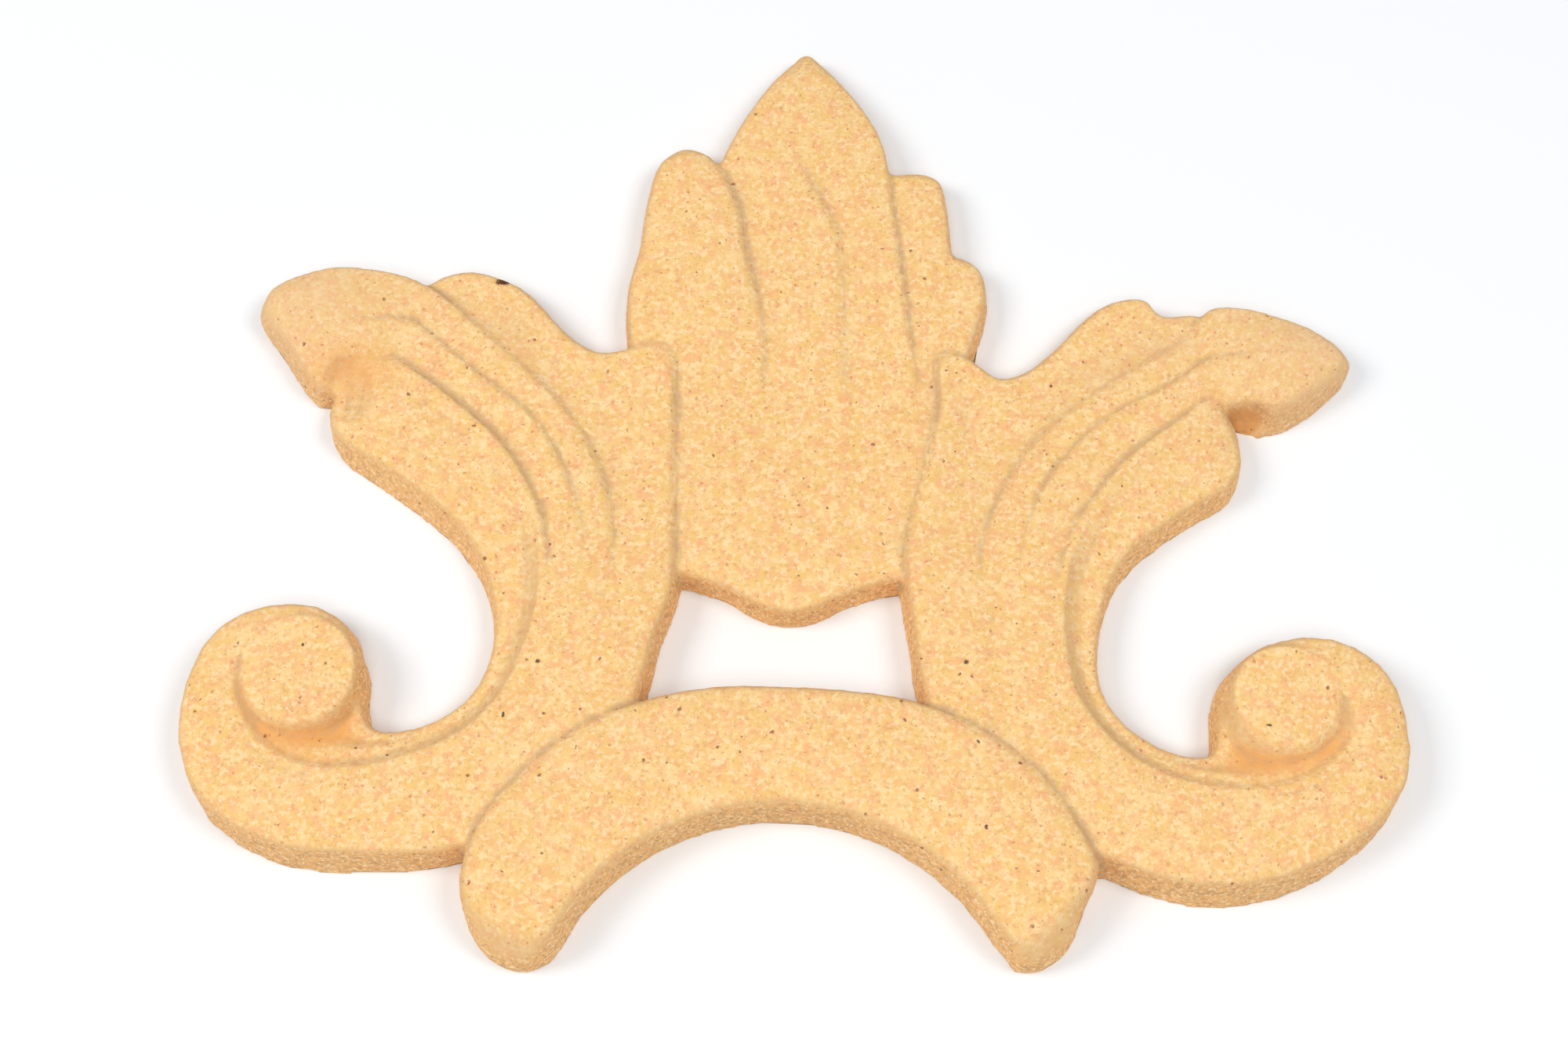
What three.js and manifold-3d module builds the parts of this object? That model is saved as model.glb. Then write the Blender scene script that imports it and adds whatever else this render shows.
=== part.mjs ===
// Wood pulp applique: a moulded furniture ornament with a palmette between two acanthus leaves,
// whose stems roll into volutes over an arched band. One solid, lying on its flat back.
// Millimetres, +Z out of the carved face, +Y toward the palmette's point, origin on the back.
import * as THREE from "three";
import { mergeVertices } from "three/addons/utils/BufferGeometryUtils.js";
import Module from "manifold-3d";

// Driving dimensions
const width = 131;
const height = 111;
const thickness = 7;
const wallLean = 0.4;
const edgeRound = 0.8;
const stepLean = 0.2;
const stepRound = 0.3;
const stemRound = 0.5;
const plateRound = 1.1;
const leastRound = 0.04;
const seamRun = 0.2;
const foldRun = 0.9;
const lipSlope = 1.9;
const bandRound = 1.3;
const ridgeTop = 0.4;
const underlap = 0.35;
const archRadius = 25.8;
const eyeEdgeRun = 0.4;
const eyeFlatTop = 6.35;
const eyeEdgeTop = 5.9;
const eyeSkirtTop = 4.2;

// Proportions: where a rounded edge turns, how narrow a section gets before its edges shrink, how
// far a seam may spread, and the concave climb from the lip to its ridge
const shoulder = 0.3;
const bladeNarrow = 2.6;
const lipNarrow = 1.5;
const seamShare = 0.1;
const evenShare = 0.5;
const hollowRun = 0.7;
const hollowRise = 0.3;
const climbStart = 0.12;
const climbKnee = 0.42;
const climbKneeRun = 0.45;
const skirtFollow = 0.25;

// How finely round pieces are faceted
const stepsBetween = 2;
const eyeSides = 28;
const hollowSides = 16;
const hollowRings = 12;
const weldGap = 1e-5;

// The carving is drawn on a grid of one-millimetre squares at full size, and follows the size of the part
const squaresAcross = 131;
const squaresUp = 111;
const middleRow = 55;
const squaresDeep = 7;
const partColour = 0xd9ab74;

const wasm = await Module();
wasm.setup();

const across = (x) => (x * width) / squaresAcross;
const along = (y) => ((y - middleRow) * height) / squaresUp;
const rise = (z) => (z * thickness) / squaresDeep;

// One value of the smooth curve through four neighbouring values
function between(before, from, to, after, t) {
  const slopeIn = (to - before) / 2;
  const slopeOut = (after - from) / 2;
  const bend = 2 * (from - to) + slopeIn + slopeOut;
  const lift = 3 * (to - from) - 2 * slopeIn - slopeOut;
  return from + t * (slopeIn + t * (lift + t * bend));
}

// Fills in stations between the drawn ones, so that every column runs as a smooth curve
function smoothed(stations, steps) {
  const last = stations.length - 1;
  const filled = [];
  for (let i = 0; i < last; i += 1) {
    const before = stations[Math.max(i - 1, 0)];
    const after = stations[Math.min(i + 2, last)];
    for (let step = 0; step < steps; step += 1) {
      filled.push(
        stations[i].map((value, k) => between(before[k], value, stations[i + 1][k], after[k], step / steps)),
      );
    }
  }
  filled.push(stations[last]);
  return filled;
}

// Turns a bare geometry into a solid that can be joined and cut
function solidOf(geometry) {
  geometry.deleteAttribute("normal");
  geometry.deleteAttribute("uv");
  const merged = mergeVertices(geometry, weldGap);
  const vertProperties = new Float32Array(merged.attributes.position.array);
  const triVerts = new Uint32Array(merged.index.array);
  return new wasm.Manifold(new wasm.Mesh({ numProp: 3, vertProperties, triVerts }));
}

// Lofts a closed solid through sections of equal length, each a ring of points in its own plane,
// and closes both ends with a fan
function loft(sections) {
  const columns = sections[0].length;
  const rows = sections.length;
  const positions = sections.flat(2);
  const faces = [];
  for (let row = 0; row < rows - 1; row += 1) {
    for (let column = 0; column < columns; column += 1) {
      const next = (column + 1) % columns;
      const a = row * columns + column;
      const b = row * columns + next;
      const c = a + columns;
      const d = b + columns;
      faces.push(a, b, d, a, d, c);
    }
  }
  const lastRow = (rows - 1) * columns;
  for (let column = 1; column < columns - 1; column += 1) {
    faces.push(0, column + 1, column);
    faces.push(lastRow, lastRow + column, lastRow + column + 1);
  }
  const geometry = new THREE.BufferGeometry();
  geometry.setAttribute("position", new THREE.Float32BufferAttribute(positions, 3));
  geometry.setIndex(volumeOf(positions, faces) < 0 ? faces.reverse() : faces);
  return solidOf(geometry);
}

// Signed volume of a closed mesh, which is negative where its faces point inward
function volumeOf(positions, faces) {
  const point = (index) => new THREE.Vector3().fromArray(positions, 3 * index);
  let volume = 0;
  for (let i = 0; i < faces.length; i += 3) {
    volume += point(faces[i]).dot(point(faces[i + 1]).cross(point(faces[i + 2]))) / 6;
  }
  return volume;
}

// Places an upright section's outline, given as distances from its first foot and heights
function placed(foot, farFoot, outline) {
  const run = foot.distanceTo(farFoot);
  return outline.map(([distance, z]) => {
    const spot = foot.clone().lerp(farFoot, distance / run);
    return [spot.x, spot.y, rise(z)];
  });
}

// Height at a share of the way across, on the curve through two edge heights and a middle one
function crowned(low, middle, high, share) {
  const swell = middle - (low + high) / 2;
  return low + (high - low) * share + 4 * swell * share * (1 - share);
}

// Points up an exposed edge, whose wall leans in and rounds over into the carved face
function rounded(lean, round, z) {
  return [
    [0, 0],
    [lean, z - round],
    [lean + shoulder * round, z - shoulder * round],
    [lean + round, z],
  ];
}

// Points up the low side of a tip that curls over its neighbour, with a wall that leans out from below
function curled(lean, z) {
  const round = Math.max(Math.min(edgeRound, 2 * lean), leastRound);
  return [
    [0, 0],
    [lean, z - round],
    [lean + round, z],
  ];
}

// A blade of the carving, from its low side, which is exposed or tucked under its neighbour, to its
// high side. Each station holds the two feet, the heights at the low side, the middle and the high
// side, the lean of the high side's wall and, on a seamed blade, the seam's place as a share of the
// width, the depth of the step there and, on a stem, the lean of its low side.
function blade(stations, { lowSide, lowLean, lowRound, highRound, tuck = 0, fold = 0 }) {
  const sections = smoothed(stations, stepsBetween).map((station) => {
    const [x0, y0, x1, y1, low, middle, high, highLean, seam = 0.5, tooth = 0, curl = 0] = station;
    const farFoot = new THREE.Vector2(across(x1), along(y1));
    const drawn = new THREE.Vector2(across(x0), along(y0));
    const foot = drawn.clone().add(drawn.clone().sub(farFoot).setLength(tuck));
    const run = foot.distanceTo(farFoot);
    const sides = lowLean + lowRound + highLean + highRound;
    const room = Math.min(1, run / (bladeNarrow * sides));
    const lowEdges = {
      bare: rounded(room * lowLean, room * lowRound, low - tooth),
      hidden: [
        [0, 0],
        [0, low],
      ],
      curled: curled(room * curl, low - tooth),
    };
    const lowEdge = lowEdges[lowSide];
    const highEdge = rounded(room * highLean, room * highRound, high);
    const start = lowEdge[lowEdge.length - 1][0];
    const end = run - room * (highLean + highRound);
    const top = (share, drop) => [start + (end - start) * share, crowned(low, middle, high, share) - drop];
    const step = Math.min(fold, seamShare * run) / (end - start);
    const face = [top(0.5 * seam, 0.5 * tooth), top(seam - step / 2, 0)];
    const farFace = [top(seam + step / 2, tooth), top((1 + seam) / 2, 0.5 * tooth)];
    return placed(foot, farFoot, [
      ...lowEdge,
      ...(fold > 0 ? [...face, ...farFace] : [top(1 / 3, 0), top(2 / 3, 0)]),
      ...highEdge.map(([distance, z]) => [run - distance, z]).reverse(),
    ]);
  });
  return loft(sections);
}

// The lower lip of a leaf, which runs on as the ledge along the bay and round the eye. Each station
// holds the foot at the bay and at the ridge, the heights at the edge, of the shelf below the ridge
// and of the ridge, the lean of the wall at the bay, the run of the climb to the ridge and the
// shelf's share of the rest.
function lip(stations) {
  const sections = smoothed(stations, stepsBetween).map((station) => {
    const [x0, y0, x1, y1, edge, shelf, ridge, lean, slope, shelfShare] = station;
    const foot = new THREE.Vector2(across(x0), along(y0));
    const farFoot = new THREE.Vector2(across(x1), along(y1));
    const run = foot.distanceTo(farFoot);
    const room = Math.min(1, run / (lipNarrow * (lean + edgeRound + slope + ridgeTop + stepLean)));
    const start = room * (lean + edgeRound);
    const end = run - room * (slope + ridgeTop + stepLean);
    const shelfStart = end - shelfShare * (end - start);
    const climb = (share) => shelf + share * (ridge - shelf);
    return placed(foot, farFoot, [
      ...rounded(room * lean, room * edgeRound, edge),
      [start + hollowRun * (shelfStart - start), edge + hollowRise * (shelf - edge)],
      [shelfStart, shelf],
      [end, climb(climbStart)],
      [end + climbKneeRun * room * slope, climb(climbKnee)],
      [run - room * (ridgeTop + stepLean), ridge],
      [run - room * stepLean, ridge],
      [run, 0],
    ]);
  });
  return loft(sections);
}

// The button at the middle of a volute: a flat top on a sloping skirt that is widest below
function eye({ x, y, flatRadius, skirtRadius, skirtDrop }) {
  const rings = [
    [skirtRadius + wallLean, y - skirtDrop, 0],
    [skirtRadius, y - skirtDrop, eyeSkirtTop],
    [flatRadius + eyeEdgeRun, y - skirtFollow * skirtDrop, eyeEdgeTop],
    [flatRadius, y, eyeFlatTop],
  ];
  const sections = rings.map(([radius, centre, z]) =>
    Array.from({ length: eyeSides }, (_, side) => {
      const turn = (2 * Math.PI * side) / eyeSides;
      return [across(x) + radius * Math.cos(turn), along(centre) + radius * Math.sin(turn), rise(z)];
    }),
  );
  return loft(sections);
}

// A rounded hollow under a leaf's curled tip, given by its middle, its half sizes and its bottom's height
function hollow({ x, y, z, halfAcross, halfAlong, bottom }) {
  const geometry = new THREE.SphereGeometry(1, hollowSides, hollowRings);
  geometry.scale(across(halfAcross), (halfAlong * height) / squaresUp, rise(z - bottom));
  geometry.translate(across(x), along(y), rise(z));
  return solidOf(geometry);
}

// A stem's closing values where it has no seam and its low side doesn't curl
const seamless = [0.5, 0, 0];

// Adds the same closing values to every station
const each = (stations, ...values) => stations.map((station) => [...station, ...values]);

// How the two sides of a blade end: on a bare wall, over a neighbour or tucked under one
const free = { lowSide: "bare", lowLean: wallLean, lowRound: edgeRound, highRound: edgeRound };
const tucked = { lowSide: "hidden", lowLean: 0, lowRound: 0, highRound: edgeRound };
const plate = { ...tucked, highRound: plateRound };
const folded = { ...free, highRound: stepRound, fold: foldRun };
const arched = { ...free, lowRound: bandRound, highRound: bandRound };
const stem = { ...tucked, lowSide: "curled", highRound: stemRound, tuck: underlap, fold: seamRun };

// Each leaf's ridge, which parts the stem from the lip and runs on as the ledge's upper edge
const leftRidge = [
  [-43.4, 65.3],
  [-39.2, 62.4],
  [-34.7, 58.6],
  [-31.4, 54.8],
  [-28.6, 50.0],
  [-27.4, 45.0],
  [-27.0, 39.3],
  [-28.0, 32.9],
  [-29.9, 27.6],
  [-33.6, 23.1],
  [-39.2, 19.8],
  [-45.6, 18.0],
  [-51.6, 18.2],
  [-56.4, 20.8],
  [-59.3, 24.8],
  [-60.2, 29.2],
];

const leftStem = [
  [-62.6, 72.7, -62.5, 73.5, 2.8, 3.0, 2.8, 0.3, 0.5, 0.0, 0.2],
  [-61.7, 71.2, -61.4, 76.2, 4.0, 4.6, 4.2, 0.4, 0.5, 0.0, 0.5],
  [-59.8, 69.0, -58.3, 77.9, 4.6, 5.4, 4.7, 0.4, 0.5, 0.0, 0.9],
  [-57.6, 65.8, -54.3, 79.0, 4.8, 5.8, 5.0, 0.4, 0.5, 0.0, 1.0],
  [-54.6, 62.7, -50.0, 78.9, 4.8, 5.8, 5.1, 0.4, 0.52, 0.1, 0.8],
  [-50.5, 64.2, -46.0, 78.0, 4.8, 5.6, 5.1, 0.3, 0.55, 0.3, 0.2],
  [-46.6, 66.8, -42.4, 76.2, 5.0, 5.3, 5.1, 0.2, 0.55, 0.5, 0.0],
  ...[
    [-37.6, 72.2, 5.0, 5.2, 5.0, 0.2, 0.53, 0.5, 0.0],
    [-32.6, 67.9, 5.0, 5.2, 5.0, 0.2, 0.52, 0.5, 0.0],
    [-27.8, 63.3, 5.0, 5.2, 5.0, 0.2, 0.6, 0.5, 0.0],
    [-25.0, 59.9, 5.0, 5.25, 5.0, 0.2, 0.59, 0.5, 0.0],
    [-22.1, 54.9, 5.1, 5.4, 5.1, 0.2, 0.54, 0.45, 0.0],
    [-20.0, 47.5, 5.3, 5.6, 5.2, 0.2, 0.58, 0.2, 0.0],
    [-19.3, 39.5, 5.7, 5.8, 5.5, 0.2, 0.5, 0.0, 0.0],
    [-18.2, 31.5, 5.8, 6.0, 5.7, 0.2, 0.5, 0.0, 0.0],
    [-19.5, 23.5, 5.8, 6.0, 5.7, 0.3, 0.5, 0.0, 0.0],
    [-26.5, 13.8, 5.8, 6.1, 5.5, 0.5, 0.5, 0.0, 0.0],
    [-35.2, 9.9, 5.8, 6.1, 5.4, 0.5, 0.5, 0.0, 0.0],
    [-43.8, 8.8, 5.9, 6.1, 5.3, 1.0, 0.5, 0.0, 0.0],
    [-52.8, 9.2, 5.9, 6.1, 5.3, 1.1, 0.5, 0.0, 0.0],
    [-61.0, 13.6, 5.9, 6.1, 5.4, 0.7, 0.5, 0.0, 0.0],
    [-64.7, 20.8, 6.0, 6.1, 5.4, 0.4, 0.5, 0.0, 0.0],
    [-64.7, 28.5, 6.1, 6.2, 5.5, 0.4, 0.5, 0.0, 0.0],
  ].map((shape, i) => [...leftRidge[i], ...shape]),
  ...each(
    [
      [-57.5, 32.0, -62.0, 34.2, 6.2, 6.2, 5.6],
      [-54.5, 32.8, -57.0, 37.0, 6.2, 6.2, 5.6],
      [-51.8, 32.8, -51.3, 37.2, 6.2, 6.2, 5.6],
      [-50.0, 31.8, -47.4, 34.8, 6.2, 6.2, 5.6],
      [-49.4, 30.5, -46.5, 32.0, 6.0, 6.0, 5.4],
    ],
    wallLean,
    ...seamless,
  ),
];

const rightRidge = [
  [43.5, 63.7],
  [40.1, 61.1],
  [36.4, 57.8],
  [33.5, 54.0],
  [31.2, 50.2],
  [29.4, 45.3],
  [28.6, 39.0],
  [29.2, 33.0],
  [30.9, 28.3],
  [34.5, 24.0],
  [39.3, 20.9],
  [44.6, 19.6],
  [50.6, 19.6],
  [56.4, 21.6],
  [60.0, 24.9],
  [61.0, 29.5],
];

const rightStem = [
  [62.3, 71.2, 62.4, 72.0, 2.8, 3.0, 2.8, 0.3, 0.5, 0.0, 0.2],
  [61.4, 69.6, 60.6, 73.8, 4.0, 4.6, 4.2, 0.4, 0.5, 0.0, 0.5],
  [59.3, 67.4, 57.3, 75.8, 4.6, 5.3, 4.7, 0.4, 0.5, 0.0, 1.0],
  [56.7, 65.4, 53.3, 77.1, 4.8, 5.7, 4.9, 0.4, 0.5, 0.0, 1.2],
  [53.6, 63.7, 49.3, 77.8, 4.8, 5.7, 5.0, 0.4, 0.5, 0.1, 1.2],
  [50.3, 63.6, 45.9, 77.3, 4.8, 5.5, 5.0, 0.3, 0.48, 0.3, 1.0],
  [46.6, 65.4, 43.4, 73.2, 5.0, 5.3, 5.0, 0.2, 0.57, 0.5, 0.2],
  ...[
    [39.3, 70.6, 5.1, 5.2, 5.0, 0.2, 0.54, 0.5, 0.0],
    [34.6, 67.2, 5.1, 5.2, 5.0, 0.2, 0.61, 0.5, 0.0],
    [30.4, 63.9, 5.1, 5.2, 5.0, 0.2, 0.64, 0.5, 0.0],
    [26.6, 60.1, 5.1, 5.3, 5.0, 0.2, 0.62, 0.5, 0.0],
    [23.6, 55.5, 5.3, 5.4, 5.1, 0.2, 0.6, 0.45, 0.0],
    [20.8, 48.3, 5.4, 5.6, 5.2, 0.2, 0.53, 0.2, 0.0],
    [20.0, 40.0, 5.7, 5.8, 5.5, 0.2, 0.5, 0.0, 0.0],
    [18.7, 31.8, 5.8, 6.0, 5.7, 0.2, 0.5, 0.0, 0.0],
    [19.5, 24.0, 5.8, 6.0, 5.7, 0.3, 0.5, 0.0, 0.0],
    [26.0, 15.6, 5.8, 6.1, 5.5, 0.7, 0.5, 0.0, 0.0],
    [34.0, 11.3, 5.8, 6.1, 5.4, 1.0, 0.5, 0.0, 0.0],
    [42.6, 8.7, 5.9, 6.1, 5.3, 1.2, 0.5, 0.0, 0.0],
    [52.0, 9.8, 5.9, 6.1, 5.3, 1.2, 0.5, 0.0, 0.0],
    [60.9, 15.1, 5.9, 6.1, 5.4, 0.8, 0.5, 0.0, 0.0],
    [65.6, 21.6, 6.0, 6.1, 5.4, 0.4, 0.5, 0.0, 0.0],
    [66.0, 29.0, 6.1, 6.2, 5.5, 0.4, 0.5, 0.0, 0.0],
  ].map((shape, i) => [...rightRidge[i], ...shape]),
  ...each(
    [
      [58.0, 32.0, 63.6, 34.9, 6.2, 6.2, 5.6],
      [55.2, 33.0, 58.5, 37.7, 6.2, 6.2, 5.6],
      [52.6, 33.0, 52.8, 37.5, 6.2, 6.2, 5.6],
      [50.6, 32.2, 48.7, 35.4, 6.2, 6.2, 5.6],
      [49.8, 31.0, 47.2, 33.0, 6.0, 6.0, 5.4],
    ],
    wallLean,
    ...seamless,
  ),
];

// Lower lip of each leaf with the ledge that it turns into, from the lip's tip to beside the eye
const leftLip = [
  [-53.4, 60.9, -52.8, 62.5, 2.6, 2.8, 2.9, 0.4, lipSlope, evenShare],
  [-52.9, 58.3, -50.2, 65.2, 3.9, 4.3, 4.5, 0.5, lipSlope, evenShare],
  [-52.0, 56.6, -46.6, 67.0, 4.1, 4.7, 5.0, 0.8, lipSlope, evenShare],
  ...[
    [-50.2, 54.9, 4.3, 4.8, 5.3, 1.1, lipSlope, evenShare],
    [-46.1, 52.3, 4.4, 4.85, 5.4, 1.4, lipSlope, evenShare],
    [-41.9, 49.4, 4.4, 4.85, 5.4, 1.4, lipSlope, evenShare],
    [-38.4, 46.6, 4.4, 4.75, 5.4, 1.4, lipSlope, evenShare],
    [-35.4, 43.1, 4.3, 4.6, 5.5, 1.0, lipSlope, evenShare],
    [-33.4, 39.3, 4.3, 4.4, 5.6, 0.6, lipSlope, evenShare],
    [-32.5, 35.0, 4.3, 4.3, 5.8, 0.4, lipSlope, evenShare],
    [-33.0, 30.8, 4.3, 4.3, 5.9, 0.4, lipSlope, evenShare],
    [-34.8, 27.3, 4.3, 4.3, 5.9, 0.4, lipSlope, evenShare],
    [-38.0, 24.9, 4.3, 4.3, 5.9, 0.4, lipSlope, evenShare],
    [-41.6, 23.8, 4.3, 4.7, 5.9, 0.4, 1.2, 0.5],
    [-44.6, 24.3, 4.3, 5.2, 6.0, 0.4, 0.8, 0.45],
    [-45.5, 28.2, 4.3, 5.4, 6.05, 0.4, 0.7, 0.14],
    [-47.0, 31.4, 4.3, 5.5, 6.1, 0.4, 0.7, 0.1],
    [-53.5, 29.5, 4.5, 5.6, 6.1, 0.4, 0.7, 0.2],
    [-54.5, 31.0, 5.1, 5.8, 6.1, 0.4, 0.8, 0.3],
  ].map(([x, y, ...shape], i) => [x, y, ...leftRidge[i], ...shape]),
  [-53.5, 32.5, -58.0, 34.0, 6.0, 6.1, 6.1, 0.4, 1.0, 0.4],
];

const rightLip = [
  [49.4, 61.7, 48.8, 63.2, 2.6, 2.8, 2.9, 0.4, lipSlope, evenShare],
  [49.7, 58.0, 46.4, 65.7, 3.9, 4.3, 4.6, 0.5, lipSlope, evenShare],
  ...[
    [48.3, 54.6, 4.3, 4.7, 5.2, 0.8, lipSlope, evenShare],
    [45.0, 52.4, 4.4, 4.75, 5.3, 0.9, lipSlope, evenShare],
    [41.9, 50.2, 4.4, 4.7, 5.3, 0.9, lipSlope, evenShare],
    [38.4, 47.3, 4.4, 4.6, 5.35, 0.9, lipSlope, evenShare],
    [35.9, 44.3, 4.3, 4.5, 5.45, 0.8, lipSlope, evenShare],
    [34.2, 40.4, 4.3, 4.3, 5.6, 0.5, lipSlope, evenShare],
    [33.4, 36.0, 4.3, 4.3, 5.8, 0.4, lipSlope, evenShare],
    [33.6, 31.6, 4.3, 4.3, 5.9, 0.4, lipSlope, evenShare],
    [35.2, 28.4, 4.3, 4.3, 5.9, 0.4, lipSlope, evenShare],
    [38.0, 26.0, 4.3, 4.3, 5.9, 0.4, lipSlope, evenShare],
    [41.4, 24.7, 4.3, 4.7, 5.9, 0.4, 1.2, 0.5],
    [45.1, 24.6, 4.3, 5.2, 6.0, 0.4, 0.8, 0.4],
    [45.3, 28.0, 4.3, 5.4, 6.05, 0.4, 0.7, 0.1],
    [46.2, 31.0, 4.3, 5.5, 6.1, 0.4, 0.7, 0.1],
    [53.6, 30.0, 4.5, 5.6, 6.1, 0.4, 0.7, 0.15],
    [54.8, 31.3, 5.1, 5.8, 6.1, 0.4, 0.8, 0.3],
  ].map(([x, y, ...shape], i) => [x, y, ...rightRidge[i], ...shape]),
  [54.2, 33.0, 58.8, 34.4, 6.0, 6.1, 6.1, 0.4, 1.0, 0.4],
];

// Crest of each leaf and the plate that it turns into, from the notch behind the tip to the band
const leftPlate = [
  [-44.4, 75.2, -44.2, 77.3, 3.4, 3.7, 3.4],
  [-42.2, 73.4, -42.3, 78.7, 4.5, 4.2, 4.0],
  [-38.8, 71.0, -39.3, 79.7, 4.75, 4.2, 4.2],
  [-35.6, 69.0, -35.6, 79.0, 4.75, 4.15, 4.3],
  [-32.4, 66.0, -31.8, 77.0, 4.75, 4.15, 4.3],
  [-29.6, 62.9, -28.6, 73.6, 4.75, 4.15, 4.4],
  [-27.2, 60.2, -26.0, 71.1, 4.75, 4.2, 4.5],
  [-25.5, 57.8, -23.4, 69.7, 4.7, 4.25, 4.6],
  [-24.5, 56.2, -20.6, 69.9, 4.7, 4.3, 4.75],
  [-23.8, 55.0, -16.8, 70.8, 4.65, 4.3, 4.9],
  [-23.2, 53.4, -14.5, 69.6, 4.6, 4.4, 4.95],
  [-22.6, 51.2, -14.0, 64.5, 4.6, 4.45, 5.0],
  [-22.0, 48.5, -13.6, 58.0, 4.65, 4.65, 5.0],
  [-21.5, 45.5, -13.1, 51.0, 4.8, 4.95, 5.1],
  [-21.0, 42.0, -12.7, 45.2, 5.3, 5.5, 5.3],
  [-21.0, 38.0, -12.6, 40.4, 5.65, 5.8, 5.5],
  [-21.0, 34.0, -14.3, 35.0, 5.85, 5.95, 5.5],
  [-21.0, 30.5, -15.0, 30.5, 5.9, 5.95, 5.5],
  [-21.0, 26.0, -17.0, 24.5, 5.9, 5.95, 5.5],
];

const rightPlate = [
  [47.4, 73.0, 47.4, 76.0, 4.4, 4.4, 4.0],
  [44.8, 71.6, 44.5, 77.2, 4.9, 4.75, 4.4],
  [42.4, 70.4, 42.0, 77.0, 4.85, 4.5, 4.3],
  [40.6, 69.4, 40.3, 77.4, 4.8, 4.3, 4.2],
  [39.6, 68.8, 39.0, 79.2, 4.75, 4.2, 4.2],
  [36.6, 67.0, 35.6, 78.7, 4.75, 4.15, 4.3],
  [33.8, 65.0, 32.4, 76.6, 4.75, 4.15, 4.3],
  [31.0, 62.6, 29.5, 73.2, 4.75, 4.15, 4.4],
  [28.6, 59.6, 26.6, 70.2, 4.75, 4.2, 4.5],
  [26.6, 57.0, 23.9, 68.4, 4.7, 4.25, 4.6],
  [25.2, 55.2, 21.6, 68.2, 4.7, 4.3, 4.75],
  [24.5, 54.1, 19.4, 69.9, 4.65, 4.3, 4.85],
  [24.0, 53.0, 16.6, 71.0, 4.65, 4.35, 4.9],
  [23.5, 51.7, 15.0, 69.4, 4.6, 4.4, 4.95],
  [23.0, 49.8, 15.4, 64.6, 4.6, 4.45, 5.0],
  [22.4, 47.5, 14.3, 58.4, 4.65, 4.65, 5.0],
  [22.0, 45.0, 12.7, 51.9, 4.8, 4.95, 5.1],
  [21.5, 42.0, 11.6, 46.0, 5.3, 5.5, 5.3],
  [21.3, 38.5, 11.9, 40.8, 5.65, 5.8, 5.5],
  [21.2, 34.5, 12.9, 35.5, 5.85, 5.95, 5.5],
  [21.2, 31.0, 13.6, 30.8, 5.9, 5.95, 5.5],
  [21.2, 26.0, 16.0, 24.5, 5.9, 5.95, 5.5],
];

// Palmette: the left lobe, the pointed middle leaf, two right lobes and the body with its bow
const leftLobe = [
  [-16.0, 96.7, -14.0, 96.8, 2.9, 3.1, 2.9],
  [-18.2, 94.5, -11.6, 95.4, 4.0, 4.7, 4.4],
  [-19.2, 90.6, -9.4, 91.8, 4.3, 5.0, 4.9],
  [-19.6, 86.5, -7.8, 87.6, 4.3, 5.0, 4.9],
  [-19.8, 82.9, -7.1, 83.4, 4.3, 5.0, 4.9],
  [-20.7, 78.5, -6.0, 79.4, 4.3, 5.0, 4.85],
  [-20.7, 73.5, -4.9, 75.0, 4.3, 4.85, 4.65],
  [-19.6, 68.0, -4.1, 70.5, 4.2, 4.55, 4.4],
  [-18.0, 62.0, -4.0, 65.0, 4.05, 4.25, 4.2],
  [-16.5, 54.0, -3.5, 57.0, 3.8, 3.9, 3.9],
];

const middleLeaf = [
  [-2.0, 110.7, -0.4, 110.7, 2.6, 2.9, 2.6, stepLean, 0.4, 0],
  [-4.9, 107.0, 3.0, 106.8, 3.9, 4.5, 3.9, stepLean, 0.35, 0],
  [-8.1, 101.8, 6.6, 101.8, 4.3, 4.8, 4.3, stepLean, 0.32, 0],
  [-10.4, 96.5, 9.0, 96.5, 4.4, 4.9, 4.6, stepLean, 0.4, 0.12],
  [-11.8, 91.0, 9.4, 91.5, 4.4, 4.9, 4.8, stepLean, 0.55, 0.4],
  [-10.3, 85.0, 10.3, 85.5, 4.5, 4.9, 4.8, stepLean, 0.65, 0.5],
  [-9.0, 79.0, 11.2, 79.5, 4.5, 4.8, 4.8, stepLean, 0.63, 0.45],
  [-7.5, 72.5, 11.9, 73.5, 4.4, 4.7, 4.6, stepLean, 0.59, 0.4],
  [-6.5, 66.0, 12.8, 68.0, 4.25, 4.45, 4.3, stepLean, 0.56, 0.25],
  [-6.0, 60.0, 13.4, 62.0, 4.0, 4.15, 4.1, stepLean, 0.6, 0.1],
  [-5.5, 51.0, 14.0, 53.0, 3.7, 3.8, 3.8, stepLean, 0.6, 0],
];

const upperRightLobe = [
  [9.8, 94.2, 14.0, 94.8, 3.0, 3.2, 2.9],
  [8.2, 93.0, 15.8, 93.2, 3.9, 4.2, 4.0],
  [8.2, 89.5, 16.5, 89.4, 4.0, 4.4, 4.3],
  [8.9, 85.5, 16.9, 85.3, 4.0, 4.4, 4.3],
  [9.8, 81.0, 17.5, 81.0, 4.0, 4.4, 4.3],
  [10.6, 76.0, 17.5, 76.5, 4.0, 4.3, 4.2],
  [12.0, 70.0, 17.0, 71.0, 4.0, 4.15, 4.05],
  [13.0, 62.0, 18.0, 64.0, 3.7, 3.8, 3.8],
];

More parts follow.
